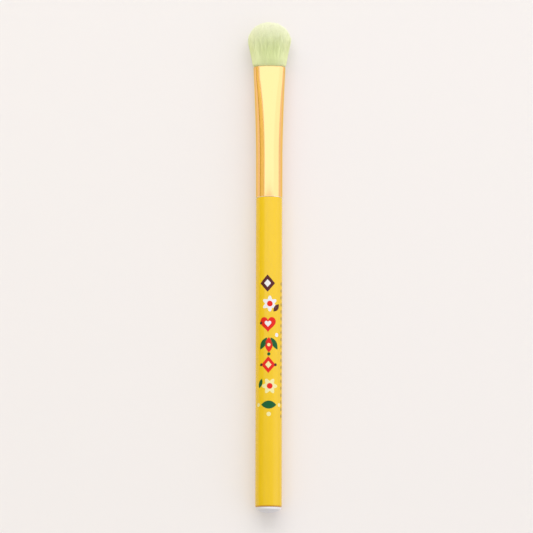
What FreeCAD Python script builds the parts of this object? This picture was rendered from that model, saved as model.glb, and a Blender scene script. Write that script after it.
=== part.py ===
import FreeCAD, Part
import math
import os

# An eyeshadow brush lying on a table, in millimetres, with +Z up and the bristles towards +X.
# The origin is on the table, under the middle of the brush.

# Handle: an extruded plastic tube of even diameter
handle_diameter = 8.0
handle_length = 93.35
handle_wall = 1.0
handle_rim_radius = 0.3

# End plug: a low domed head, a step narrower than the tube, on a spigot held by ribs
plug_head_step = 0.3
plug_lip_height = 0.7
plug_crown_height = 0.95
plug_edge_radius = 0.3
plug_spigot_length = 9.0
plug_spigot_clearance = 0.3
plug_rib_clearance = 0.02
plug_rib_count = 3

# Ferrule: a thin metal tube, round and flush with the handle, then pressed flat towards its mouth
ferrule_wall = 0.35
ferrule_rim_radius = 0.2
ferrule_round_length = 13.05
ferrule_flare_length = 27.4
ferrule_mouth_width = 9.7
ferrule_mouth_thickness = 5.7
ferrule_mouth_land = 4.5
ferrule_flare_power = 1.5
ferrule_press_power = 3
ferrule_loft_steps = 5
oval_corner_degrees = 68

# Joint plug: a stepped dowel, one step in the ferrule and one in the handle, grooved for glue
joint_front_gap = 1.2
joint_rear_length = 14.0
joint_groove_radius = 0.35
joint_groove_count = 3
joint_end_chamfer = 0.4
glue_gap = 0.1
glue_margin = 0.6

# Tuft: filaments that fill the mouth, splay over its rim, widen to a belly and end in a dome
tuft_splay_height = 0.5
tuft_belly_height = 7.9
tuft_dome_height = 5.9
tuft_belly_width = 12.7
tuft_belly_thickness = 6.6
tuft_clearance = 0.12
tuft_dome_steps = 6
tuft_last_dome_degrees = 78

# Roots: bound with thread inside the flare and potted in epoxy, at shares of the flare's length
root_end_share = 0.40
thread_rear_share = 0.43
thread_front_share = 0.51
thread_thickness = 0.45
thread_wall_gap = 0.25
epoxy_rear_share = 0.25
epoxy_front_share = 0.56
epoxy_clearance = 0.05

# Sizes and places that follow
handle_radius = handle_diameter / 2
handle_bore_radius = handle_radius - handle_wall
ferrule_bore_radius = handle_radius - ferrule_wall
plug_head_height = plug_lip_height + plug_crown_height
ferrule_length = ferrule_round_length + ferrule_flare_length
land_share = 1 - ferrule_mouth_land / ferrule_flare_length
tuft_free_length = tuft_belly_height + tuft_dome_height
overall_length = plug_head_height + handle_length + ferrule_length + tuft_free_length
thread_inset = ferrule_wall + thread_wall_gap
root_inset = thread_inset + thread_thickness + tuft_clearance

axis_height = handle_radius
x_butt = -overall_length / 2
x_handle = x_butt + plug_head_height
x_seam = x_handle + handle_length
x_flare = x_seam + ferrule_round_length
x_mouth = x_flare + ferrule_flare_length
x_belly = x_mouth + tuft_belly_height

along = FreeCAD.Vector(1, 0, 0)


def on_axis(x):
    """The point of the brush's centre line at x."""
    return FreeCAD.Vector(x, 0, axis_height)


def rod(x_from, x_to, radius):
    """A round bar on the centre line."""
    return Part.makeCylinder(radius, x_to - x_from, on_axis(x_from), along)


def ring(x, radius, thickness_radius):
    """A torus round the centre line, for grooves and ribs."""
    return Part.makeTorus(radius, thickness_radius, on_axis(x), along)


def spread(x_from, x_to, count):
    """Evenly spaced places between two ends, with the ends left free."""
    step = (x_to - x_from) / (count + 1)
    return [x_from + step * (place + 1) for place in range(count)]


def rims(solid, radius):
    """The circular edges of one radius."""
    circles = [edge for edge in solid.Edges if isinstance(edge.Curve, Part.Circle)]
    return [edge for edge in circles if math.isclose(edge.Curve.Radius, radius)]


def place_along(edge):
    """Where an edge lies along the brush, for picking the one nearest to an end."""
    return edge.CenterOfMass.x


def oval(x, width, thickness):
    """A closed wire across the axis: four tangent arcs that meet at the corner angle."""
    cosine = math.cos(math.radians(oval_corner_degrees))
    sine = math.sin(math.radians(oval_corner_degrees))
    side_radius = (width * (1 - sine) - thickness * cosine) / (1 - cosine - sine) / 2
    corner_y = width / 2 - side_radius * (1 - cosine)
    corner_z = side_radius * sine

    def point(y, z):
        return FreeCAD.Vector(x, y, axis_height + z)

    right = Part.Arc(point(corner_y, -corner_z), point(width / 2, 0), point(corner_y, corner_z))
    top = Part.Arc(point(corner_y, corner_z), point(0, thickness / 2), point(-corner_y, corner_z))
    left = Part.Arc(point(-corner_y, corner_z), point(-width / 2, 0), point(-corner_y, -corner_z))
    under = Part.Arc(point(-corner_y, -corner_z), point(0, -thickness / 2), point(corner_y, -corner_z))
    return Part.Wire([arc.toShape() for arc in (right, top, left, under)])


def oval_bar(x_from, x_to, width, thickness):
    """A straight bar of oval section."""
    return Part.Face(oval(x_from, width, thickness)).extrude(along * (x_to - x_from))


def flare_place(share):
    """The place along the axis at a share of the flare, from its round end to the mouth."""
    return x_flare + ferrule_flare_length * share


def flare_size(share, inset):
    """Width and thickness at a share of the flare, drawn in by an inset on every side.

    The width grows all the way; the thickness falls ever faster up to the land, which is flat."""
    press_share = min(share / land_share, 1)
    growth = (ferrule_mouth_width - handle_diameter) * share ** ferrule_flare_power
    press = (handle_diameter - ferrule_mouth_thickness) * press_share ** ferrule_press_power
    return handle_diameter + growth - 2 * inset, handle_diameter - press - 2 * inset


def flare_section(share, inset):
    """The oval at a share of the flare."""
    return oval(flare_place(share), *flare_size(share, inset))


def flare_bar(share_from, share_to, inset):
    """A solid that follows the flare between two shares."""
    step_share = (share_to - share_from) / ferrule_loft_steps
    shares = [share_from + step_share * step for step in range(ferrule_loft_steps + 1)]
    return Part.makeLoft([flare_section(share, inset) for share in shares], True)


def flare_to_mouth(share_from, inset):
    """A solid that follows the flare from a share to the mouth, with a crease where the land starts."""
    return flare_bar(share_from, land_share, inset).fuse(flare_bar(land_share, 1, inset))


def make_handle_tube():
    """The tube, with both outer rims eased."""
    bar = rod(x_handle, x_seam, handle_radius)
    eased = bar.makeFillet(handle_rim_radius, rims(bar, handle_radius))
    return eased.cut(rod(x_handle, x_seam, handle_bore_radius))


def off_axis(x, radius):
    """The point at a radius above the centre line, for an outline that is turned about it."""
    return FreeCAD.Vector(x, 0, axis_height + radius)


def plug_head_outline():
    """Half of the head: a spherical crown, an edge that rounds it into the lip, and the seat on the tube.

    The edge's arc is tangent to the crown and to the lip, which fixes where its centre is."""
    head_radius = handle_radius - plug_head_step
    crown_radius = (head_radius ** 2 + plug_crown_height ** 2) / (2 * plug_crown_height)
    edge_centre = head_radius - plug_edge_radius
    edge_angle = math.asin(edge_centre / (crown_radius - plug_edge_radius))
    edge_x = x_butt + crown_radius - (crown_radius - plug_edge_radius) * math.cos(edge_angle)
    middle_angle = (edge_angle + math.radians(90)) / 2

    def on_crown(angle):
        depth = crown_radius - crown_radius * math.cos(angle)
        return off_axis(x_butt + depth, crown_radius * math.sin(angle))

    edge_middle = off_axis(edge_x - plug_edge_radius * math.cos(middle_angle),
                           edge_centre + plug_edge_radius * math.sin(middle_angle))
    edge_end = off_axis(edge_x, head_radius)
    seat = off_axis(x_handle, head_radius)
    return [Part.Arc(on_crown(0), on_crown(edge_angle / 2), on_crown(edge_angle)),
            Part.Arc(on_crown(edge_angle), edge_middle, edge_end),
            Part.LineSegment(edge_end, seat)]


def plug_spigot_outline():
    """Half of the spigot: its ribs are half circles that stand up from the bar."""
    x_end = x_handle + plug_spigot_length
    spigot_radius = handle_bore_radius - plug_spigot_clearance
    rib_height = plug_spigot_clearance - plug_rib_clearance
    edges = []
    last = off_axis(x_handle, spigot_radius)
    for x in spread(x_handle, x_end, plug_rib_count):
        rib_start = off_axis(x - rib_height, spigot_radius)
        rib_end = off_axis(x + rib_height, spigot_radius)
        edges.append(Part.LineSegment(last, rib_start))
        edges.append(Part.Arc(rib_start, off_axis(x, spigot_radius + rib_height), rib_end))
        last = rib_end
    corner = off_axis(x_end, spigot_radius)
    return edges + [Part.LineSegment(last, corner), Part.LineSegment(corner, on_axis(x_end))]


def make_end_plug():
    """A domed head, seated on the tube's end, and a ribbed spigot inside the tube: one outline, turned."""
    head = plug_head_outline()
    spigot = plug_spigot_outline()
    shoulder = Part.LineSegment(head[-1].EndPoint, spigot[0].StartPoint)
    centre = Part.LineSegment(spigot[-1].EndPoint, head[0].StartPoint)
    outline = Part.Wire([edge.toShape() for edge in head + [shoulder] + spigot + [centre]])
    return Part.Face(outline).revolve(on_axis(x_butt), along, 360)


def make_ferrule():
    """The round tube, with its rim eased at the handle, and the pressed flare, in one piece."""
    bar = rod(x_seam, x_flare, handle_radius)
    eased = bar.makeFillet(ferrule_rim_radius, [min(rims(bar, handle_radius), key=place_along)])
    tube = eased.cut(rod(x_seam, x_flare, ferrule_bore_radius))
    flare = flare_to_mouth(0, 0).cut(flare_to_mouth(0, ferrule_wall))
    return tube.fuse(flare).removeSplitter()


def make_joint_plug():
    """Two steps of one dowel; the shoulder between them stops on the end of the tube."""
    x_front = x_flare - joint_front_gap
    x_rear = x_seam - joint_rear_length
    front_radius = ferrule_bore_radius - glue_gap
    rear_radius = handle_bore_radius - glue_gap
    front = rod(x_seam, x_front, front_radius)
    rear = rod(x_rear, x_seam, rear_radius)
    front = front.makeChamfer(joint_end_chamfer, [max(rims(front, front_radius), key=place_along)])
    rear = rear.makeChamfer(joint_end_chamfer, [min(rims(rear, rear_radius), key=place_along)])
    plug = front.fuse(rear)
    for x in spread(x_seam, x_front, joint_groove_count):
        plug = plug.cut(ring(x, front_radius, joint_groove_radius))
    for x in spread(x_rear, x_seam, joint_groove_count):
        plug = plug.cut(ring(x, rear_radius, joint_groove_radius))
    return plug


def make_glue(x_from, x_to, bore_radius, plug):
    """A film that fills the gap round the joint plug, and its grooves, short of both ends."""
    return rod(x_from + glue_margin, x_to - glue_margin, bore_radius).cut(plug)


def make_bristle_tuft():
    """One bundle: bound roots, the stretch that fills the mouth, the belly and the dome."""
    inset = ferrule_wall + tuft_clearance
    held = flare_to_mouth(epoxy_front_share, inset)
    mouth = flare_section(1, inset)
    splay = oval(x_mouth + tuft_splay_height, ferrule_mouth_width, ferrule_mouth_thickness)
    belly = oval(x_belly, tuft_belly_width, tuft_belly_thickness)
    cone = Part.makeLoft([mouth, splay, belly], True, True)
    last_angle = math.radians(tuft_last_dome_degrees)
    sections = [belly]
    for step in range(tuft_dome_steps):
        angle = last_angle * (step + 1) / tuft_dome_steps
        x = x_belly + tuft_dome_height * math.sin(angle) / math.sin(last_angle)
        sections.append(oval(x, tuft_belly_width * math.cos(angle), tuft_belly_thickness * math.cos(angle)))
    dome = Part.makeLoft(sections, True)
    return dome.fuse(cone).fuse(held).fuse(make_bound_root(0))


def bound_size(inset):
    """Width and thickness that fit the flare all along the bound stretch, drawn in by an inset."""
    rear_width, rear_thickness = flare_size(root_end_share, inset)
    front_width, front_thickness = flare_size(epoxy_front_share, inset)
    return min(rear_width, front_width), min(rear_thickness, front_thickness)


def make_bound_root(clearance):
    """The straight stretch of roots that the thread draws in, grown by a clearance."""
    x_root = flare_place(root_end_share) - clearance
    return oval_bar(x_root, flare_place(epoxy_front_share), *bound_size(root_inset - clearance))


def make_binding_thread():
    """The band that the wound thread makes round the roots."""
    x_rear = flare_place(thread_rear_share)
    band = oval_bar(x_rear, flare_place(thread_front_share), *bound_size(thread_inset))
    return band.cut(make_bound_root(tuft_clearance))


def make_root_epoxy(thread):
    """The block poured round the bound roots and the thread, cast against the inside of the ferrule."""
    front_share = epoxy_front_share - tuft_clearance / ferrule_flare_length
    block = flare_bar(epoxy_rear_share, front_share, ferrule_wall + epoxy_clearance)
    return block.cut(make_bound_root(tuft_clearance)).cut(thread)


joint_plug = make_joint_plug()
binding_thread = make_binding_thread()
nodes = {
    "handle_tube": make_handle_tube(),
    "end_plug": make_end_plug(),
    "ferrule": make_ferrule(),
    "joint_plug": joint_plug,
    "ferrule_glue": make_glue(x_seam, x_flare - joint_front_gap, ferrule_bore_radius, joint_plug),
    "handle_glue": make_glue(x_seam - joint_rear_length, x_seam, handle_bore_radius, joint_plug),
    "binding_thread": binding_thread,
    "root_epoxy": make_root_epoxy(binding_thread),
    "bristle_tuft": make_bristle_tuft(),
}

os.makedirs("parts", exist_ok=True)
for name, shape in nodes.items():
    shape.exportStep("parts/" + name + ".step")
    box = shape.optimalBoundingBox(False, False)
    print("%-15s valid %s, %d solid, %8.2f mm3, X %.2f to %.2f, Y %.2f to %.2f, Z %.2f to %.2f" % (
        name, shape.isValid(), len(shape.Solids), shape.Volume,
        box.XMin, box.XMax, box.YMin, box.YMax, box.ZMin, box.ZMax))
print("mouth at x %.3f, seam at x %.3f, end of the tube at x %.3f" % (x_mouth, x_seam, x_handle))
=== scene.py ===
# %% [markdown]
# An eyeshadow brush has few pieces, and each is a study in another kind of surface: a glossy printed
# tube, a milky plug, a polished gold ferrule, and a tuft of thousands of soft filaments.
# The sizes come from the frame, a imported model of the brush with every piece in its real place.
# The brush lies on a table along X, with its tuft towards +X and the flat of the tuft facing up.

# %% Load the frame
import bpy
import numpy as np
from mathutils import Euler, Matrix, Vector


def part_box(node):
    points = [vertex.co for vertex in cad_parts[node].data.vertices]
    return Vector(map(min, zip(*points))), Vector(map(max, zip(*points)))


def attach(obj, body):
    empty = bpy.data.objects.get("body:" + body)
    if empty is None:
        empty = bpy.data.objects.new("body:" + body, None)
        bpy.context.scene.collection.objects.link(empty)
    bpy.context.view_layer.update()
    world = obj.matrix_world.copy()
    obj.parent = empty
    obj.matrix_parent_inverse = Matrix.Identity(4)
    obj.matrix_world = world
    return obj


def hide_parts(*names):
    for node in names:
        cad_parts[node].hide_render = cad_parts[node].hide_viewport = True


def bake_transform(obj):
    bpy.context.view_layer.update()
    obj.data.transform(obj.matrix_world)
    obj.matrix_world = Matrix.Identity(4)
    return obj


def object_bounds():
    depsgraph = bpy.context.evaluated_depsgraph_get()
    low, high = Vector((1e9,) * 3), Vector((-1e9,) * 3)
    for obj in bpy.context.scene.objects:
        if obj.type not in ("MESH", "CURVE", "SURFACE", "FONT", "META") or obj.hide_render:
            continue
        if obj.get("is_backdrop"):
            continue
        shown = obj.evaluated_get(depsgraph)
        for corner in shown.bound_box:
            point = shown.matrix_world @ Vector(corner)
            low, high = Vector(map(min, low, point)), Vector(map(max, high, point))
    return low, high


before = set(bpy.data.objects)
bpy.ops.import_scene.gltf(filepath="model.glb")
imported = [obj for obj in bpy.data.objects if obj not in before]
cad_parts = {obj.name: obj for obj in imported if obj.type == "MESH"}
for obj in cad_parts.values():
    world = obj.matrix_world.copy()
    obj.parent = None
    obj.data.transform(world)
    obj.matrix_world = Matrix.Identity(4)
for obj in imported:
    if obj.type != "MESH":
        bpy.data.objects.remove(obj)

mm = 0.001
frame_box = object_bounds()
print("Frame pieces:", ", ".join(sorted(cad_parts)))
print("Frame size in mm:", [round(side / mm, 2) for side in frame_box[1] - frame_box[0]])

# %% [markdown]
# Shapes are worked out in millimetres, as a maker would draw them, and scaled to Blender's metres when
# they become a mesh. Where one piece meets the next is read from the frame's boxes, so the looks can't
# drift away from the construction. Every value that a box can't give is named beside its piece.

# %% Read where the pieces meet
def span(node, axis):
    """Lowest and highest place of a frame piece along X (0), Y (1) or Z (2), in millimetres."""
    low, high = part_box(node)
    return low[axis] / mm, high[axis] / mm


x_butt, x_spigot_end = span("end_plug", 0)
x_handle, x_seam = span("handle_tube", 0)
x_mouth = span("ferrule", 0)[1]
x_root, x_tip = span("bristle_tuft", 0)
handle_radius = span("handle_tube", 1)[1]
axis_height = handle_radius
print("Butt %.2f, tube from %.2f, seam %.2f, mouth %.2f, tip %.2f"
      % (x_butt, x_handle, x_seam, x_mouth, x_tip))

# %% [markdown]
# The tube, the plug, the ferrule and each patch of ink are rings of points, one after another. Blender's
# Spin tool or a Screw modifier could turn a profile too. Here the whole grid is one numpy array instead,
# so the same functions serve round pieces, oval ones and patches, and the mesh can be measured at once.

# %% Make a mesh from rings of points
def ring_stack(rings, closed=False):
    """Points and faces of rings, an array of rows, columns and coordinates.

    Each face joins two neighbours of one ring to the same two of the next. A closed stack joins its last
    ring to its first, as a tube's wall does; an open one ends in fans round the middle of its end rings."""
    rows, columns = rings.shape[:2]
    column = np.arange(columns)
    following = np.roll(column, -1)
    first = np.arange(rows if closed else rows - 1)[:, None] * columns
    second = (first + columns) % (rows * columns)
    quads = np.stack([first + column, first + following, second + following, second + column], axis=-1)
    points = rings.reshape(-1, 3)
    if closed:
        return points, [quads.reshape(-1, 4)]
    last = (rows - 1) * columns
    start_fan = np.stack([np.full(columns, len(points)), following, column], axis=-1)
    end_fan = np.stack([np.full(columns, len(points) + 1), last + column, last + following], axis=-1)
    poles = rings[[0, -1]].mean(axis=1)
    return np.vstack([points, poles]), [quads.reshape(-1, 4), start_fan, end_fan]


def signed_volume(points, faces):
    """Sum of the tetrahedra between the origin and each triangle: positive when faces point outwards."""
    total = 0.0
    for group in faces:
        for corner in range(1, group.shape[1] - 1):
            a, b, c = (points[group[:, index]] for index in (0, corner, corner + 1))
            total += np.einsum("ij,ij->", a, np.cross(b, c)) / 6
    return total


# %% [markdown]
# A mesh can be filled one vertex at a time, or all at once with foreach_set, which takes flat arrays and
# is quick enough for a million corners. Faces that came out inside out are turned round here, before
# they reach Blender. Edges sharper than an angle stay crisp, and the rest are shaded smooth.

# %% Put the arrays into Blender
sharp_degrees = 40


def add_piece(name, points, faces):
    """A new object at the origin, from points in millimetres and groups of faces of equal size."""
    volume = signed_volume(points, faces)
    if volume < 0:
        faces = [group[:, ::-1] for group in faces]
    corners = np.concatenate([group.ravel() for group in faces])
    sizes = np.concatenate([np.full(len(group), group.shape[1]) for group in faces])
    mesh = bpy.data.meshes.new(name)
    mesh.vertices.add(len(points))
    mesh.vertices.foreach_set("co", (points * mm).ravel())
    mesh.loops.add(len(corners))
    mesh.loops.foreach_set("vertex_index", corners)
    mesh.polygons.add(len(sizes))
    mesh.polygons.foreach_set("loop_start", np.cumsum(sizes) - sizes)
    mesh.update(calc_edges=True)
    mesh.shade_smooth()
    mesh.set_sharp_from_angle(angle=np.radians(sharp_degrees))
    piece = bpy.data.objects.new(name, mesh)
    bpy.context.scene.collection.objects.link(piece)
    print("%s: %d triangles, %.2f mm3" % (name, (sizes - 2).sum(), abs(volume)))
    return piece


# %% [markdown]
# The handle is a plastic tube of even diameter. Its outer rims are eased, as a cut tube's are after
# tumbling: a little at the ferrule, and more at the butt, where the round turns away from the light and
# draws a darker line. The profile is a closed loop of the outer wall, the rims and the bore, carried once
# round the axis.

# %% Handle tube
handle_wall = 1.0
rim_radius = 0.3
butt_round = 0.5
rim_steps = 9
turn_steps = 192


def turned(profile):
    """A profile of places along the axis and distances from it, carried round: y = r cos a, z = r sin a."""
    angle = np.linspace(0, 2 * np.pi, turn_steps, endpoint=False)
    x, radius = profile[:, :1], profile[:, 1:]
    rings = np.broadcast_arrays(x, radius * np.cos(angle), axis_height + radius * np.sin(angle))
    return np.stack(rings, axis=-1)


def arc(x, radius, size, start_degrees, end_degrees, steps):
    """Profile points on a circle of one size: 0 degrees points to the tip, 90 away from the axis."""
    angle = np.radians(np.linspace(start_degrees, end_degrees, steps))
    return np.column_stack([x + size * np.cos(angle), radius + size * np.sin(angle)])


bore_radius = handle_radius - handle_wall
tube_profile = np.vstack([
    arc(x_handle + butt_round, handle_radius - butt_round, butt_round, 180, 90, rim_steps),
    arc(x_seam - rim_radius, handle_radius - rim_radius, rim_radius, 90, 0, rim_steps),
    [(x_seam, bore_radius), (x_handle, bore_radius)],
])
yellow_tube = add_piece("yellow_tube", *ring_stack(turned(tube_profile), closed=True))
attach(yellow_tube, "handle_assembly")
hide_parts("handle_tube")

# %% [markdown]
# The white plug closes the end of the tube. Its head is a low dome, a part of a large sphere, that rounds
# into a short lip. Behind the lip a spigot goes into the tube, with three ribs that grip its bore. The
# small arc at the edge touches both the dome and the lip, which fixes where its centre lies.

# %% End plug
crown_height = 0.95
edge_radius = 0.3
spigot_clearance = 0.3
rib_height = 0.28
rib_count = 3
crown_steps = 24

head_radius = span("end_plug", 1)[1]
crown_radius = (head_radius ** 2 + crown_height ** 2) / (2 * crown_height)
crown_x = x_butt + crown_radius
edge_centre = head_radius - edge_radius
edge_degrees = np.degrees(np.arcsin(edge_centre / (crown_radius - edge_radius)))
edge_x = crown_x - (crown_radius - edge_radius) * np.cos(np.radians(edge_degrees))
spigot_radius = bore_radius - spigot_clearance
rib_places = np.linspace(x_handle, x_spigot_end, rib_count + 2)[1:-1]
ribs = [arc(x, spigot_radius, rib_height, 180, 0, rim_steps) for x in rib_places]
first_degrees = 180 - edge_degrees / crown_steps
plug_profile = np.vstack([
    arc(crown_x, 0, crown_radius, first_degrees, 180 - edge_degrees, crown_steps),
    arc(edge_x, edge_centre, edge_radius, 180 - edge_degrees, 90, rim_steps)[1:],
    [(x_handle, head_radius), (x_handle, spigot_radius)],
    *ribs,
    [(x_spigot_end, spigot_radius)],
])
white_plug = add_piece("white_plug", *ring_stack(turned(plug_profile)))
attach(white_plug, "handle_assembly")
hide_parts("end_plug")

# %% [markdown]
# The ferrule is one thin aluminium tube. It leaves the handle round and flush, widens a little, and is
# pressed flatter and flatter until the last few millimetres, the land, which are parallel. A round tube
# scaled in a lattice would come close. A formula for the width and the thickness at each place keeps the
# press's own shape, and that shape decides how the reflections run.

# %% Sizes of the ferrule along its length
round_length = 13.05
land_length = 4.5
mouth_thickness = 5.7
flare_power = 1.5
press_power = 3
press_softness = 0.02
mouth_width = 2 * span("ferrule", 1)[1]
x_flare = x_seam + round_length
x_land = x_mouth - land_length


def ferrule_size(x):
    """Width and thickness at x. The width grows with a power of the way to the mouth.

    The thickness falls with a power of the way to the land, and the bend where the land starts is eased
    by taking the way as one less a soft step of what is left of it."""
    way = np.clip((x - x_flare) / (x_mouth - x_flare), 0, 1)
    left = 1 - np.clip((x - x_flare) / (x_land - x_flare), 0, None)
    pressed = 1 - press_softness * np.logaddexp(0, left / press_softness)
    round_size = 2 * handle_radius
    width = round_size + (mouth_width - round_size) * way ** flare_power
    thickness = round_size - (round_size - mouth_thickness) * np.clip(pressed, 0, 1) ** press_power
    return width, thickness


for x in (x_seam, x_flare, x_land, x_mouth):
    print("Ferrule at x %.2f: %.2f wide, %.2f thick" % (x, *ferrule_size(x)))

# %% [markdown]
# Across the axis the ferrule is an oval of four arcs: a broad one above and below and a small one at each
# side, which meet without a corner. Each point is found from the direction in which the wall faces there.
# Moving it back along that direction then gives the inner wall and the rounded lip at an even thickness.

# %% Ferrule
ferrule_wall = 0.35
corner_degrees = 68
seam_round = 0.2
lip_steps = 13
flare_steps = 160
inner_stride = 4
oval_steps = 288


def oval_rings(x, inset):
    """Ovals across the axis at each x, drawn in by an inset.

    Where the wall faces within the corner angle of the side, a point lies on the small arc about a centre
    on the long axis; elsewhere it lies on the broad arc about a centre on the short axis."""
    sine, cosine = np.sin(np.radians(corner_degrees)), np.cos(np.radians(corner_degrees))
    facing = np.linspace(0, 2 * np.pi, oval_steps, endpoint=False)
    across, up = np.cos(facing), np.sin(facing)
    width, thickness = (size[:, None] for size in ferrule_size(x))
    small = (width * (1 - sine) - thickness * cosine) / (1 - cosine - sine) / 2
    broad = (thickness * (1 - cosine) - width * sine) / (1 - cosine - sine) / 2
    at_side = np.abs(across) > cosine
    radius = np.where(at_side, small, broad) - inset[:, None]
    y = np.where(at_side, np.sign(across) * (width / 2 - small), 0) + radius * across
    z = np.where(at_side, 0, np.sign(up) * (thickness / 2 - broad)) + radius * up
    return np.stack(np.broadcast_arrays(x[:, None], y, axis_height + z), axis=-1)


lip = ferrule_wall / 2
quarter = np.linspace(0, np.pi / 2, rim_steps)
half = np.linspace(0, np.pi, lip_steps)
outer_x = np.linspace(x_flare, x_mouth - lip, flare_steps)[:-1]
inner_x = np.append(outer_x[::-inner_stride], x_seam)
ferrule_x = np.concatenate([
    x_seam + seam_round * (1 - np.cos(quarter)), outer_x, x_mouth - lip + lip * np.sin(half), inner_x])
ferrule_inset = np.concatenate([
    seam_round * (1 - np.sin(quarter)), 0 * outer_x, lip * (1 - np.cos(half)), 0 * inner_x + ferrule_wall])
gold_ferrule = add_piece("gold_ferrule", *ring_stack(oval_rings(ferrule_x, ferrule_inset), closed=True))
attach(gold_ferrule, "handle_assembly")
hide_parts("ferrule")

# %% [markdown]
# The filaments are bound at their roots before the tuft goes into the ferrule. This bundle is packed so
# tightly there that it works as one solid, so the hidden part is a single closed loft: the bound root,
# and then the stretch that fills the flare up to just under the mouth.

# %% Bound roots of the tuft
bound_inset = 1.17
root_clearance = 0.12
root_front_share = 0.56
root_top = 0.4
held_steps = 40

x_bound = x_flare + (x_mouth - x_flare) * root_front_share
held_x = np.linspace(x_bound, x_mouth - root_top, held_steps)
root_x = np.concatenate([[x_root, x_bound], held_x])
root_inset = np.concatenate([[bound_inset, bound_inset], 0 * held_x + ferrule_wall + root_clearance])
root_points, root_faces = ring_stack(oval_rings(root_x, root_inset))
bristle_roots = add_piece("bristle_roots", root_points, root_faces)

# %% [markdown]
# Above the mouth every filament shows. Blender's hair curves would draw them, but hair doesn't survive an
# export, so each filament is a thin closed mesh with three sides. First comes the plan of the tuft: a
# sunflower pattern spreads the filaments evenly over a disc, and neighbours are gathered into locks,
# because soft filaments cling together and leave the fine streaks that the eye reads as brush hair.

# %% Plan of the tuft on a disc
filament_count = 10800
lock_count = 1500
lock_scatter_share = 0.35
random = np.random.default_rng(20)


def sunflower(count):
    """Evenly packed places on a unit disc: the radius is the root of the share, the turn is golden."""
    share = (np.arange(count) + 0.5) / count
    angle = np.arange(count) * np.pi * (3 - np.sqrt(5))
    return np.sqrt(share)[:, None] * np.column_stack([np.cos(angle), np.sin(angle)])


plan = sunflower(filament_count)
lock_plan = sunflower(lock_count)
lock_shift = random.normal(0, lock_scatter_share / np.sqrt(lock_count), lock_plan.shape)
lock_plan = np.clip(lock_plan + lock_shift, -1, 1)
lock = ((plan[:, None, :] - lock_plan[None, :, :]) ** 2).sum(axis=2).argmin(axis=1)
print("%d filaments in %d locks, up to %d in one" % (filament_count, lock_count, np.bincount(lock).max()))

# %% [markdown]
# A filament leaves the mouth, leans over the lip, fans out to the belly and ends on the dome. The dome is
# a little fuller than half an ellipsoid, and a filament near the middle is the longest. No two real
# filaments are cut alike: seeded random numbers shorten each by its own amount, so the edge of the dome
# thins out. Their ends are short and blunt and lie close together, which makes the dome look full.

# %% Centre lines of the filaments
belly_width = 2 * span("bristle_tuft", 1)[1]
belly_low, belly_high = span("bristle_tuft", 2)
belly_thickness = belly_high - belly_low
belly_height = 7.9
dome_height = x_tip - x_mouth - belly_height
splay_height = 0.6
hidden_length = 1.5
fuzz_length = 0.4
length_spread = 0.5
lock_length_spread = 0.12
dome_power = 2.05
ring_shares = np.array([0.30, 0.55, 0.80, 0.985, 1.0])

off_centre = np.sqrt((plan ** 2).sum(axis=1))
reach = np.clip(1 - off_centre ** dome_power, 0, None) ** (1 / dome_power)
length = belly_height + dome_height * reach + fuzz_length
length -= np.abs(random.normal(0, length_spread, filament_count))
length += random.normal(0, lock_length_spread, lock_count)[lock]
low_heights = np.array([-hidden_length, 0, splay_height])
height = np.concatenate([np.tile(low_heights, (filament_count, 1)), length[:, None] * ring_shares], axis=1)
print("Filaments from %.2f to %.2f mm long above the mouth" % (length.min(), length.max()))

# %% [markdown]
# A place on the disc and a height above the mouth give one point of a filament. On its way up it keeps to
# its share of the tuft's width and thickness, is drawn towards the middle of its lock, and bends a little
# by chance. Hair guides and modifiers could do this; as arrays, all the filaments are placed at once.

# %% Where the filaments run
splay_width = 0.18
gather_share = 0.15
bend_spread = 0.18


def tuft_half_sizes(height):
    """Half of the tuft's width and of its thickness at a height above the mouth.

    Both run straight from inside the ferrule over its lip to the belly, and stay even from there up."""
    held = ferrule_wall + root_clearance
    heights = [0, splay_height, belly_height]
    widths = [mouth_width / 2 - held, mouth_width / 2 + splay_width, belly_width / 2]
    thicknesses = [mouth_thickness / 2 - held, mouth_thickness / 2, belly_thickness / 2]
    return np.interp(height, heights, widths), np.interp(height, heights, thicknesses)


way = np.clip(height / length[:, None], 0, 1)
gathered = (gather_share * way ** 2)[:, :, None]
disc = plan[:, None, :] * (1 - gathered) + lock_plan[lock][:, None, :] * gathered
bend = random.normal(0, bend_spread, (filament_count, 1, 2)) * (way ** 2)[:, :, None]
half_width, half_thickness = tuft_half_sizes(height)
centre_line = np.stack([
    x_mouth + height,
    disc[:, :, 0] * half_width + bend[:, :, 0],
    axis_height + disc[:, :, 1] * half_thickness + bend[:, :, 1],
], axis=-1)
print("Tuft from y %.2f to %.2f mm" % (centre_line[:, :, 1].min(), centre_line[:, :, 1].max()))

# %% [markdown]
# Each centre line becomes a prism of three sides that narrows a little and ends in a short point. All
# filaments have the same faces, so one list of faces is enough, repeated with an offset. One flat side
# of each faces up, give or take a little, because sides that face every way catch the light unevenly
# and look coarse. Each also gets a tone for its colour, which differs a little from filament to filament
# and from lock to lock. Towards the two sides of the tuft the tone is raised: painted light for the sides,
# which the lamps reach less.

# %% Filaments
filament_radius = 0.043
thin_shares = np.array([1, 1, 1, 1, 1, 0.95, 0.75])
sides = 3
flat_side_up = -np.pi / 2
twist_spread = 0.3
mean_tone = 0.42
tone_spread = 0.10
lock_tone_spread = 0.05
side_painted_light = 1.3
side_painted_light_power = 3

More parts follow.
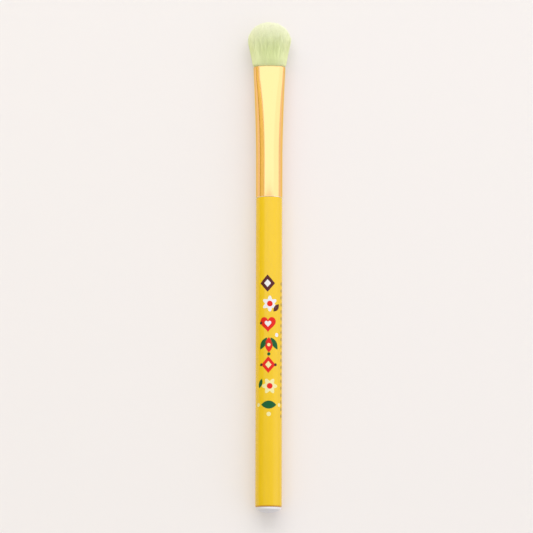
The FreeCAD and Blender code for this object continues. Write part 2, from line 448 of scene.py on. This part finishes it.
tone = random.normal(mean_tone, tone_spread, filament_count)
# Painted light: the tone rises towards the two sides of the tuft, which the lamps reach less.
tone += random.normal(0, lock_tone_spread, lock_count)[lock] + side_painted_light * np.abs(plan[:, 0]) ** side_painted_light_power
twist = flat_side_up + random.uniform(-twist_spread, twist_spread, (filament_count, 1))
ring_count = len(thin_shares)
corner_angle = twist + np.arange(sides) * 2 * np.pi / sides
corner_way = np.stack([0 * corner_angle, np.cos(corner_angle), np.sin(corner_angle)], axis=-1)
rings = centre_line[:, :-1, None, :] + corner_way[:, None] * (filament_radius * thin_shares)[:, None, None]
filament_points = np.concatenate([rings.reshape(filament_count, -1, 3), centre_line[:, -1:]], axis=1)
print("Points in each filament:", filament_points.shape[1])
print("Tones from %.2f to %.2f" % (tone.min(), tone.max()))


def filament_faces(count):
    """Faces of many filaments: quads along the sides, a triangle at the root and three to the tip."""
    _, (quads, _, _) = ring_stack(np.zeros((ring_count, sides, 3)))
    last = (ring_count - 1) * sides
    side = np.arange(sides)
    tip = np.stack([last + side, last + np.roll(side, -1), np.full(sides, last + sides)], axis=-1)
    root = side[None, ::-1]
    offset = np.arange(count)[:, None, None] * (ring_count * sides + 1)
    return [(quads + offset).reshape(-1, 4), (np.vstack([root, tip]) + offset).reshape(-1, 3)]


# %% [markdown]
# One mesh of all the filaments would be heavy to handle, so they go into three, from the heart of the tuft
# to its outside. A texture can't follow a filament, but a number on each vertex can: here two ride along
# for the material to read, the height above the mouth in millimetres and the filament's tone.

# %% Three layers of filaments
def per_vertex(mesh, name, values):
    """Stores one number for each vertex, for a material to read by name."""
    attribute = mesh.attributes.new(name, "FLOAT", "POINT")
    attribute.data.foreach_set("value", values.astype(np.float32).ravel())


layer_names = ("filaments_inner", "filaments_middle", "filaments_outer")
vertex_height = np.concatenate([np.repeat(height[:, :-1], sides, axis=1), height[:, -1:]], axis=1)
tuft_pieces = []
for layer_name, chosen in zip(layer_names, np.array_split(np.arange(filament_count), len(layer_names))):
    layer = add_piece(layer_name, filament_points[chosen].reshape(-1, 3), filament_faces(len(chosen)))
    per_vertex(layer.data, "height", vertex_height[chosen])
    per_vertex(layer.data, "tone", np.repeat(tone[chosen], ring_count * sides + 1))
    tuft_pieces.append(layer)

# %% [markdown]
# A real tuft holds several times as many filaments as these meshes, so no gap between them goes deep. Here
# a heart fills the middle: a loft that follows the fan of the filaments a little inside it and ends in a
# dome under their tips. It stops the dark that thin hair shows on a screen, and its palest green is painted
# light that brightens what shows between the filaments. Its points are as close as filaments are, and each
# is moved and toned at random, like the cut ends of hair.

# %% Heart of the tuft
heart_share = 0.95
heart_depth = 0.3
# Painted light: the heart takes the palest tone, so that what shows between the filaments looks lit.
heart_painted_light_tone = 1.0
fan_steps = 14
heart_steps = 60
heart_columns = 240
end_spread = 0.05
end_tone_spread = 0.2

dome_turn = np.linspace(0, np.pi / 2, heart_steps, endpoint=False)[:, None]
heart_rise = (dome_height - heart_depth) * np.sin(dome_turn) ** (2 / dome_power)
fan_height = np.linspace(-hidden_length, belly_height, fan_steps)[:-1, None]
heart_height = np.vstack([fan_height, belly_height + heart_rise])
heart_size = heart_share * np.vstack([np.ones_like(fan_height), np.cos(dome_turn) ** (2 / dome_power)])
turn = np.linspace(0, 2 * np.pi, heart_columns, endpoint=False)
heart_width, heart_thickness = tuft_half_sizes(heart_height)
heart_rings = np.broadcast_arrays(
    x_mouth + heart_height, heart_size * heart_width * np.cos(turn),
    axis_height + heart_size * heart_thickness * np.sin(turn))
heart_points, heart_faces = ring_stack(np.stack(heart_rings, axis=-1))
heart_points[:, 0] += random.normal(0, end_spread, len(heart_points))
bristle_heart = add_piece("bristle_heart", heart_points, heart_faces)
for piece, points in ((bristle_heart, heart_points), (bristle_roots, root_points)):
    per_vertex(piece.data, "height", np.clip(points[:, 0] - x_mouth, 0, None))
    per_vertex(piece.data, "tone", random.normal(heart_painted_light_tone, end_tone_spread, len(points)))
    tuft_pieces.append(piece)

# %% [markdown]
# The tuft bends when it is drawn over an eyelid: every filament stays put at the mouth of the ferrule and
# turns more and more up to its tip. Here the pieces are left in their rest shape: their places are baked
# into their points, and the frame's tuft is hidden.

# %% Bake the tuft pieces in place
for piece in tuft_pieces:
    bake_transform(piece)
    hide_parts("bristle_tuft")
print("Bending pieces:", ", ".join(piece.name for piece in tuft_pieces))

# %% [markdown]
# The tube is pad printed with a column of small folk ornaments: hearts, diamonds, leaves and rosettes.
# A picture on the tube would need an image, and a pattern made of nodes is hard to draw with. So each
# ornament is a real film of ink, an outline filled from its middle, that lies on the curve of the tube.

# %% Outlines of the ornaments
def circle(t):
    """A circle of diameter 1."""
    return np.cos(t) / 2, np.sin(t) / 2


def heart(t):
    """The sum of four cosines along, the cube of a sine across, scaled to about 1."""
    along = 13 * np.cos(t) - 5 * np.cos(2 * t) - 2 * np.cos(3 * t) - np.cos(4 * t)
    return along / 30, np.sin(t) ** 3 / 2


def diamond(t):
    """Straight sides between four points: each coordinate is a cosine times its own size."""
    return np.cos(t) * np.abs(np.cos(t)) / 2, np.sin(t) * np.abs(np.sin(t)) / 2


def leaf(t):
    """A cosine along and a squared sine across, so that both ends come to a point."""
    return np.cos(t) / 2, np.sin(t) * np.abs(np.sin(t)) / 2


petal_count = 6
petal_share = 0.24


def rosette(t):
    """A circle whose radius swells once for each petal on the way round, scaled to a diameter of 1."""
    radius = (1 + petal_share * np.cos(petal_count * t)) / (2 * (1 + petal_share))
    return radius * np.cos(t), radius * np.sin(t)


outline_steps = 72
fill_steps = 8
ink_film = 0.012
ink_depth = 0.03


def ink_patch(outline, x, turn, long, broad, tilt=0, layer=1):
    """A closed film of ink: the outline, scaled, tilted, and shrunk to its middle above and below.

    The place along the tube is x plus the distance along; the place round it, in degrees from the top, is
    turn plus the distance across divided by the tube's radius."""
    along, across = outline(np.linspace(0, 2 * np.pi, outline_steps, endpoint=False))
    along, across = along * long, across * broad
    sine, cosine = np.sin(np.radians(tilt)), np.cos(np.radians(tilt))
    along, across = along * cosine - across * sine, along * sine + across * cosine
    fill = np.linspace(1 / fill_steps, 1, fill_steps)
    share = np.concatenate([fill, fill[::-1]])[:, None]
    radius = handle_radius + np.repeat([ink_film * layer, -ink_depth], fill_steps)[:, None]
    angle = np.radians(turn) + share * across / handle_radius
    y, z = -radius * np.sin(angle), axis_height + radius * np.cos(angle)
    return ring_stack(np.stack(np.broadcast_arrays(x + share * along, y, z), axis=-1))


# %% [markdown]
# The ornaments run down the side of the tube that lies uppermost, from a few centimetres below the ferrule,
# and sway a little. Each is written as its shape, its place along the tube and round it in degrees, its two
# sizes, its tilt, and a layer of 2 if it is printed over another. A row of short dashes runs beside them.

# %% Lay out the print
print_start = -6.0
inks = {
    "plum": [
        (diamond, 0.0, -6, 5.2, 4.6), (leaf, -7.4, 34, 3.0, 1.5, 40), (circle, -12.0, -36, 0.9, 0.9),
        (circle, -24.6, -34, 0.9, 0.9), (circle, -24.6, 30, 0.9, 0.9),
    ],
    "white": [
        (rosette, -6.2, 4, 4.8, 4.8), (diamond, 0.0, -6, 2.4, 2.1, 0, 2), (circle, -15.6, 36, 1.2, 1.2),
        (heart, -12.2, -4, 2.0, 2.0, 0, 2),
    ],
    "red": [
        (circle, -6.2, 4, 1.7, 1.7, 0, 2), (heart, -12.2, -4, 4.9, 4.9), (leaf, -18.6, 0, 4.6, 2.3, 0),
        (diamond, -24.6, -2, 5.0, 4.4), (circle, -31.0, 4, 1.7, 1.7, 0, 2),
    ],
    "green": [
        (leaf, -18.2, 24, 4.2, 1.7, -32), (leaf, -18.2, -24, 4.2, 1.7, 32), (leaf, -30.2, -38, 3.0, 1.3, 20),
        (leaf, -36.6, 0, 4.8, 2.4, 90), (circle, -21.4, 0, 1.0, 1.0),
    ],
    "cream": [
        (diamond, -24.6, -2, 2.2, 1.9, 0, 2), (rosette, -31.0, 4, 4.9, 4.9, 30),
        (circle, -36.6, -50, 1.1, 1.1), (circle, -36.6, 50, 1.1, 1.1), (circle, -18.6, 0, 1.0, 1.0, 0, 2),
        (circle, -39.4, 0, 1.3, 1.3),
    ],
}
dash_pitch = 2.1
dash_count = 20
dash_turn = 66
dash_length, dash_width = 1.3, 0.5
inks["plum"] += [(leaf, -dash_pitch * dash, dash_turn, dash_length, dash_width) for dash in range(dash_count)]
print("Patches of ink:", {ink: len(ornaments) for ink, ornaments in inks.items()})

# %% [markdown]
# A pad lays down one colour after another, so each ink becomes one piece, joined from its patches. Join in
# Blender's Object menu would do the same. With arrays it only takes moving the numbers of each patch's
# points on, past those that came before.

# %% Print the ink
def join(patches):
    """One set of points and faces from several, each group of faces moved on past the earlier points."""
    counts = np.cumsum([0] + [len(points) for points, _ in patches])
    groups = [[group + start for group in faces] for start, (_, faces) in zip(counts, patches)]
    return np.vstack([points for points, _ in patches]), [np.vstack(same) for same in zip(*groups)]


ink_pieces = {}
for ink, ornaments in inks.items():
    patches = [ink_patch(outline, print_start + place, *rest) for outline, place, *rest in ornaments]
    ink_pieces[ink] = add_piece("ink_" + ink, *join(patches))
    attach(ink_pieces[ink], "handle_assembly")

# %% [markdown]
# Finishes come next. A colour is written as the hex code that a paint program shows, and one function
# turns it into the linear light that Blender mixes. One more small function adds any node: it links the
# inputs that are sockets, writes the others, and hands back the output to go on with. Inputs are found by
# name, or by number on a node that gives several the same name.

# %% Colours and nodes
def colour(code):
    """sRGB hex to linear: a channel is divided by 12.92 if small, else raised to 2.4 after an offset."""
    channel = np.array([int(code[index:index + 2], 16) for index in (1, 3, 5)]) / 255
    linear = np.where(channel <= 0.04045, channel / 12.92, ((channel + 0.055) / 1.055) ** 2.4)
    return (*linear, 1.0)


def start_material(name, **sockets):
    """A new material, with its even values on the shader's own sockets: Coat_Weight is Coat Weight."""
    material = bpy.data.materials.new(name)
    material.use_nodes = True
    shader = material.node_tree.nodes["Principled BSDF"]
    for socket, value in sockets.items():
        shader.inputs[socket.replace("_", " ")].default_value = value
    return material, shader


def add_node(material, kind, inputs=(), output=None, feeds=None, **settings):
    """Adds a node with its settings; inputs are linked or written, and the output may feed a socket."""
    tree = material.node_tree
    node = tree.nodes.new(kind)
    for name, value in settings.items():
        setattr(node, name, value)
    sockets = {socket.name: socket for socket in node.inputs if socket.enabled} | dict(enumerate(node.inputs))
    for name, value in dict(inputs).items():
        if isinstance(value, bpy.types.NodeSocket):
            tree.links.new(value, sockets[name])
        else:
            sockets[name].default_value = value
    result = node.outputs[output] if output else next(socket for socket in node.outputs if socket.enabled)
    if feeds:
        tree.links.new(result, feeds)
    return result


def dress(material, *pieces):
    """Gives the pieces one material in place of any that they have."""
    for piece in pieces:
        piece.data.materials.clear()
        piece.data.materials.append(material)
    print("%s on %s" % (material.name, ", ".join(piece.name for piece in pieces)))


# %% [markdown]
# The tube is extruded ABS under a clear gloss. The eye sees an even warm yellow with a soft-edged bright
# band where the lamps mirror in it. Up close such a gloss is never flat: it has an orange peel about a
# millimetre wide, and the colour drifts a little along the tube. At the butt the yellow is mixed to a
# deeper orange, as painted shade where the rounded rim turns away from the light.

# %% Yellow gloss ABS
drift_size = 14.0
peel_size = 1.1
peel_height = 0.004
butt_shade_width = 0.6

yellow_abs, shader = start_material("yellow_gloss_abs", Roughness=0.2, IOR=1.5)
place = add_node(yellow_abs, "ShaderNodeTexCoord", output="Object")
drift = add_node(yellow_abs, "ShaderNodeTexNoise", {"Vector": place, "Scale": 1 / (drift_size * mm)})
yellow = add_node(yellow_abs, "ShaderNodeMix", {
    "Factor": drift, "A": colour("#F0C40C"), "B": colour("#F3C810")}, data_type="RGBA")
place_x = add_node(yellow_abs, "ShaderNodeSeparateXYZ", {"Vector": place}, output="X")
# Painted shade: near the butt the yellow is mixed to a deeper orange, where the rounded rim turns from the
# light.
clear = add_node(yellow_abs, "ShaderNodeMapRange", {
    "Value": place_x, "From Min": (x_handle + butt_shade_width / 2) * mm, "From Max": (x_handle + butt_shade_width) * mm})
add_node(yellow_abs, "ShaderNodeMix", {"Factor": clear, "A": colour("#E0A206"), "B": yellow},
         data_type="RGBA", feeds=shader.inputs["Base Color"])
peel = add_node(yellow_abs, "ShaderNodeTexNoise", {"Vector": place, "Scale": 1 / (peel_size * mm)})
add_node(yellow_abs, "ShaderNodeBump", {"Height": peel, "Strength": 1.0, "Distance": peel_height * mm},
         feeds=shader.inputs["Normal"])
dress(yellow_abs, yellow_tube)

# %% [markdown]
# The plug is moulded polyethylene: milky, slightly blue, and waxy rather than glossy. A little light goes
# into it and comes out again beside, which softens its edges. The mould leaves a fine matt grain.

# %% White polyethylene
grain_size = 0.25
grain_height = 0.01
milk_depth = 0.6

white_ldpe, shader = start_material(
    "white_polyethylene", Roughness=0.38, IOR=1.51, Base_Color=colour("#EBE8EC"), Subsurface_Weight=0.25,
    Subsurface_Radius=(1.0, 1.0, 1.0), Subsurface_Scale=milk_depth * mm)
place = add_node(white_ldpe, "ShaderNodeTexCoord", output="Object")
grain = add_node(white_ldpe, "ShaderNodeTexNoise", {"Vector": place, "Scale": 1 / (grain_size * mm)})
add_node(white_ldpe, "ShaderNodeBump", {"Height": grain, "Strength": 1.0, "Distance": grain_height * mm},
         feeds=shader.inputs["Normal"])
dress(white_ldpe, white_plug)

# %% [markdown]
# The ferrule is polished aluminium, anodised and dyed gold. The dye tints the mirror underneath, also at
# grazing angles, so bright lamps look pale yellow in it and dim parts of the room look deep gold. The tube
# was drawn through a die, which leaves faint lines along it. It was cut to length last, and its rim at
# the handle is bare: a pale line.

# %% Gold anodised aluminium
line_length = 40.0
line_width = 0.22
line_height = 0.0006

gold, shader = start_material("gold_anodised_aluminium", Metallic=1.0, Specular_Tint=colour("#FFFA84"))
place = add_node(gold, "ShaderNodeTexCoord", output="Object")
place_x = add_node(gold, "ShaderNodeSeparateXYZ", {"Vector": place}, output="X")
dyed = add_node(gold, "ShaderNodeMapRange", {
    "Value": place_x, "From Min": (x_seam + seam_round / 2) * mm, "From Max": (x_seam + seam_round) * mm})
add_node(gold, "ShaderNodeMix", {"Factor": dyed, "A": colour("#F2F0EC"), "B": colour("#FCC98A")},
         data_type="RGBA", feeds=shader.inputs["Base Color"])
stretch = [1 / (size * mm) for size in (line_length, line_width, line_width)]
drawn = add_node(gold, "ShaderNodeMapping", {"Vector": place, "Scale": stretch})
lines = add_node(gold, "ShaderNodeTexNoise", {"Vector": drawn, "Scale": 1.0})
add_node(gold, "ShaderNodeMapRange", {"Value": lines, "To Min": 0.08, "To Max": 0.14},
         feeds=shader.inputs["Roughness"])
add_node(gold, "ShaderNodeBump", {"Height": lines, "Strength": 1.0, "Distance": line_height * mm},
         feeds=shader.inputs["Normal"])
dress(gold, gold_ferrule)

# %% [markdown]
# The filaments are drawn from PBT, a nylon-like plastic. The tuft was dipped in a pale green dye that
# fades towards the dome, so the tips are nearly cream. The filaments are fine and slightly glossy, and
# much light goes from one to the next, so their own colour is paler than the tuft looks. The colour
# follows the height above the mouth, and a tone shifts it a little.

# %% Dyed PBT filament
dye_height = 4.0
cream_height = 14.5

pbt, shader = start_material(
    "dyed_pbt_filament", Roughness=0.5, IOR=1.55, Sheen_Weight=0.15, Sheen_Roughness=0.5)
level = add_node(pbt, "ShaderNodeAttribute", output="Fac", attribute_name="height")
shade = add_node(pbt, "ShaderNodeAttribute", output="Fac", attribute_name="tone")
cream = add_node(pbt, "ShaderNodeMapRange", {
    "Value": level, "From Min": dye_height, "From Max": cream_height}, interpolation_type="SMOOTHSTEP")
# The tone carries random differences and also painted light: the paler sides of the tuft and the pale heart.
body = add_node(pbt, "ShaderNodeMix", {"Factor": shade, "A": colour("#D9E49D"), "B": colour("#F3F7C3")},
                data_type="RGBA", clamp_factor=True)
add_node(pbt, "ShaderNodeMix", {"Factor": cream, "A": body, "B": colour("#FCFCE2")},
         data_type="RGBA", feeds=shader.inputs["Base Color"])
dress(pbt, *tuft_pieces)

# %% [markdown]
# Pad printing ink is a thin opaque film with a satin face. It isn't perfectly even: the pad leaves a
# faint mottle of about half a millimetre. The five inks are one finish in five colours.

# %% Printing inks
mottle_size = 0.5
ink_codes = {"plum": "#541E20", "white": "#EFECEC", "red": "#E5200F", "green": "#005A2C", "cream": "#F2E8A8"}


def ink_finish(name, code):
    """Satin ink whose roughness is mottled by the pad."""
    material, shader = start_material(
        "pad_ink_" + name, Base_Color=colour(code), IOR=1.5, Specular_IOR_Level=0.25)
    place = add_node(material, "ShaderNodeTexCoord", output="Object")
    mottle = add_node(material, "ShaderNodeTexNoise", {"Vector": place, "Scale": 1 / (mottle_size * mm)})
    add_node(material, "ShaderNodeMapRange", {"Value": mottle, "To Min": 0.22, "To Max": 0.42},
             feeds=shader.inputs["Roughness"])
    return material


for ink, piece in ink_pieces.items():
    dress(ink_finish(ink, ink_codes[ink]), piece)

# %% [markdown]
# Five pieces stay hidden inside. The frame's own shapes are right for them, so they only get finishes, for
# anyone who takes the brush apart. First come the dowel that joins the ferrule to the tube, turned from
# beech, whose fibres run along it, and its two films of wood glue, which cure to a cloudy cream.

# %% Beech and glue
fibre_length, fibre_width = 9.0, 0.5
cloud_size = 1.5

beech, shader = start_material("turned_beech", Roughness=0.6, IOR=1.5)
place = add_node(beech, "ShaderNodeTexCoord", output="Object")
stretch = [1 / (size * mm) for size in (fibre_length, fibre_width, fibre_width)]
fibre = add_node(beech, "ShaderNodeMapping", {"Vector": place, "Scale": stretch})
grain = add_node(beech, "ShaderNodeTexNoise", {"Vector": fibre, "Scale": 1.0, "Detail": 5.0})
add_node(beech, "ShaderNodeMix", {"Factor": grain, "A": colour("#B98A5A"), "B": colour("#DDB98C")},
         data_type="RGBA", feeds=shader.inputs["Base Color"])
dress(beech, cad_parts["joint_plug"])

glue, shader = start_material("cured_wood_glue", Roughness=0.35, IOR=1.47)
place = add_node(glue, "ShaderNodeTexCoord", output="Object")
cloud = add_node(glue, "ShaderNodeTexNoise", {"Vector": place, "Scale": 1 / (cloud_size * mm)})
add_node(glue, "ShaderNodeMix", {"Factor": cloud, "A": colour("#E3DCC4"), "B": colour("#F0EBD8")},
         data_type="RGBA", feeds=shader.inputs["Base Color"])
dress(glue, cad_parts["ferrule_glue"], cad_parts["handle_glue"])

# %% [markdown]
# The roots are bound with polyester thread in close turns, which a wave texture draws as bands across the
# axis: at a scale of 1 it has 20 bands in a length of two pi. The epoxy that was poured over them set hard
# and glossy, in amber with faint streaks.

# %% Thread and epoxy
thread_pitch = 0.3
wave_bands = 20 / (2 * np.pi)
streak_size = 2.0

thread, shader = start_material("polyester_thread", Roughness=0.8, IOR=1.57, Sheen_Weight=0.3)
place = add_node(thread, "ShaderNodeTexCoord", output="Object")
turns = add_node(thread, "ShaderNodeTexWave", {
    "Vector": place, "Scale": 1 / (wave_bands * thread_pitch * mm)}, bands_direction="X")
add_node(thread, "ShaderNodeMix", {"Factor": turns, "A": colour("#CFCABB"), "B": colour("#EFEBDF")},
         data_type="RGBA", feeds=shader.inputs["Base Color"])
dress(thread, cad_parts["binding_thread"])

epoxy, shader = start_material("amber_epoxy", Roughness=0.15, IOR=1.56)
place = add_node(epoxy, "ShaderNodeTexCoord", output="Object")
streak = add_node(epoxy, "ShaderNodeTexNoise", {"Vector": place, "Scale": 1 / (streak_size * mm)})
add_node(epoxy, "ShaderNodeMix", {"Factor": streak, "A": colour("#A9792F"), "B": colour("#C79A4C")},
         data_type="RGBA", feeds=shader.inputs["Base Color"])
dress(epoxy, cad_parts["root_epoxy"])

# %% [markdown]
# The brush lies on a sheet of pale pink board, large enough to fill the view from any side. Its faint
# tooth keeps it from looking like empty space, and it takes the soft shadow that sets the brush down.
# A photograph lifts such pale shadows. The light path node does the same here: to the eye, and in mirrors,
# a part of the board shows its plain colour, while the light that it sends onto the brush is unchanged.
# That part grows to all of it further out, so the board runs into the room without a line.

# %% Table
table_half = 4000.0
table_tooth = 0.8
lift_share = 0.3
lift_grows_from, lift_grows_to = 700.0, 1600.0
pale = "#F5EFED"

edge = table_half * mm
table_corners = [(-edge, -edge, 0), (edge, -edge, 0), (edge, edge, 0), (-edge, edge, 0)]
mesh = bpy.data.meshes.new("table")
mesh.from_pydata(table_corners, [], [(0, 1, 2, 3)])
table = bpy.data.objects.new("table", mesh)
bpy.context.scene.collection.objects.link(table)
table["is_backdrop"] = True


def seen_directly(owner):
    """One for rays from the eye, mirrors and clear things, and nought for light that bounces about."""
    path = {name: add_node(owner, "ShaderNodeLightPath", output=name)
            for name in ("Is Camera Ray", "Is Glossy Ray", "Is Transmission Ray")}
    mirror = add_node(owner, "ShaderNodeMath", {0: path["Is Glossy Ray"], 1: path["Is Transmission Ray"]},
                      operation="MAXIMUM")
    return add_node(owner, "ShaderNodeMath", {0: path["Is Camera Ray"], 1: mirror}, operation="MAXIMUM")


board, shader = start_material("matt_pale_board", Roughness=0.9)
place = add_node(board, "ShaderNodeTexCoord", output="Object")
tooth = add_node(board, "ShaderNodeTexNoise", {"Vector": place, "Scale": 1 / (table_tooth * mm)})
add_node(board, "ShaderNodeMix", {"Factor": tooth, "A": colour("#F4EEEC"), "B": colour(pale)},
         data_type="RGBA", feeds=shader.inputs["Base Color"])
plain = add_node(board, "ShaderNodeEmission", {"Color": colour(pale), "Strength": 1.0})
distance = add_node(board, "ShaderNodeVectorMath", {0: place}, output="Value", operation="LENGTH")
far_lift = add_node(board, "ShaderNodeMapRange", {
    "Value": distance, "To Min": lift_share,
    "From Min": lift_grows_from * mm, "From Max": lift_grows_to * mm})
lift = add_node(board, "ShaderNodeMath", {0: seen_directly(board), 1: far_lift}, operation="MULTIPLY")
add_node(board, "ShaderNodeMixShader", {0: lift, 1: shader.outputs["BSDF"], 2: plain},
         feeds=board.node_tree.nodes["Material Output"].inputs["Surface"])
dress(board, table)

# %% [markdown]
# The light is a pale room with three soft lamps. A slightly blue softbox hangs over the tuft's end, a panel
# stands at the right, and a wide window behind the tuft throws the shadow of the butt. The window is kept
# out of mirrors, where it would lie as a hard patch on the ferrule. A lamp's strength is given as the
# brightness of its face, where 1 is white; Blender's watts are that times pi times its area.

# %% Light
room_level = 0.45
softbox_corners = (100, -840, 1000), (800, 840, 1000)
panel_corners = (-1500, -1200, 0), (1500, -1200, 1430)
window_corners = (1300, -1200, 650), (1300, 1200, 1950)

world = bpy.data.worlds.new("pale_room")
world.use_nodes = True
add_node(world, "ShaderNodeMix", {
    "Factor": seen_directly(world), "A": (room_level, room_level, room_level, 1), "B": colour(pale)},
    data_type="RGBA", feeds=world.node_tree.nodes["Background"].inputs["Color"])
bpy.context.scene.world = world


def soft_lamp(name, low, high, facing, brightness, code="#FFFFFF"):
    """A flat lamp between two corners, in millimetres, that shines the way it faces."""
    turn = Vector(facing).to_track_quat("-Z", "Y")
    low, high = Vector(low) * mm, Vector(high) * mm
    across = turn.inverted() @ (high - low)
    lamp = bpy.data.lights.new(name, "AREA")
    lamp.shape = "RECTANGLE"
    lamp.size, lamp.size_y = abs(across.x), abs(across.y)
    lamp.energy = brightness * np.pi * lamp.size * lamp.size_y
    lamp.color = colour(code)[:3]
    holder = bpy.data.objects.new(name, lamp)
    holder.location = (low + high) / 2
    holder.rotation_euler = turn.to_euler()
    holder.visible_camera = False
    bpy.context.scene.collection.objects.link(holder)
    print("%s: %.2f by %.2f m, %.1f W" % (name, lamp.size, lamp.size_y, lamp.energy))
    return holder


soft_lamp("overhead_softbox", *softbox_corners, facing=(0, 0, -1), brightness=0.8, code="#EDF5FF")
soft_lamp("right_panel", *panel_corners, facing=(0, 1, 0), brightness=0.6)
window = soft_lamp("back_window", *window_corners, facing=(-1, 0, 0), brightness=2.85)
window.visible_glossy = False

# %% [markdown]
# At the left stand two cards, as photographers use to shape shiny things. The metal mirrors the upper one,
# the colour of straw, as a band of deeper gold, and the low dark one as the line that parts the band from
# the table. They stand out of the picture, and are hidden from the camera for views from other sides.

# %% Cards at the left
card_y = 1100.0
card_ends = (-500.0, 900.0)
flag_top, card_top = 190.0, 1050.0


def standing_card(name, bottom, top, code):
    """An upright sheet that faces the brush, from one height to another."""
    start, end = card_ends
    card_corners = [(start, bottom), (end, bottom), (end, top), (start, top)]
    mesh = bpy.data.meshes.new(name)
    mesh.from_pydata([Vector((x, card_y, z)) * mm for x, z in card_corners], [], [(0, 1, 2, 3)])
    card = bpy.data.objects.new(name, mesh)
    card.visible_camera = False
    bpy.context.scene.collection.objects.link(card)
    card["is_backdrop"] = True
    paper, _ = start_material(name + "_paper", Base_Color=colour(code), Roughness=0.9)
    dress(paper, card)


standing_card("dark_flag", 0, flag_top, "#D0C05C")
standing_card("straw_card", flag_top, card_top, "#EAE49E")

# %% [markdown]
# The camera looks down on the brush from the butt's side, a few degrees off the vertical and from almost
# a metre away with a long lens, so the brush hardly narrows with distance. Its place follows from an angle
# and a distance, and its lens from a focal length and a picture width in pixels. A slight roll turns it to
# the brush.

# %% Camera
camera_elevation = 81.7
camera_distance = 905.0
camera_aim = Vector((-0.4, 0.755, 4.0))
camera_roll = 0.13
focal_pixels, picture_pixels = 3000, 533
sensor_width = 36.0

tilt = np.radians(camera_elevation)
back = Vector((-np.cos(tilt), 0, np.sin(tilt)))
camera = bpy.data.objects.new("camera", bpy.data.cameras.new("camera"))
camera.data.sensor_width = sensor_width
camera.data.lens = focal_pixels / picture_pixels * sensor_width
camera.location = (camera_aim + back * camera_distance) * mm
roll = Euler((0, 0, np.radians(camera_roll))).to_quaternion()
camera.rotation_euler = ((-back).to_track_quat("-Z", "Y") @ roll).to_euler()
bpy.context.scene.collection.objects.link(camera)
bpy.context.scene.camera = camera
bpy.context.scene.view_settings.view_transform = "Standard"
print("Camera at", [round(value, 3) for value in camera.location])

# %% [markdown]
# Last, the dressed brush is measured beside the frame, and both boxes are printed: the looks may add fuzz,
# but not size.

# %% Print both sizes
boxes = {"frame": frame_box, "dressed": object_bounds()}
for name, box in boxes.items():
    print(name, "box in mm:", [[round(value / mm, 2) for value in corner] for corner in box])
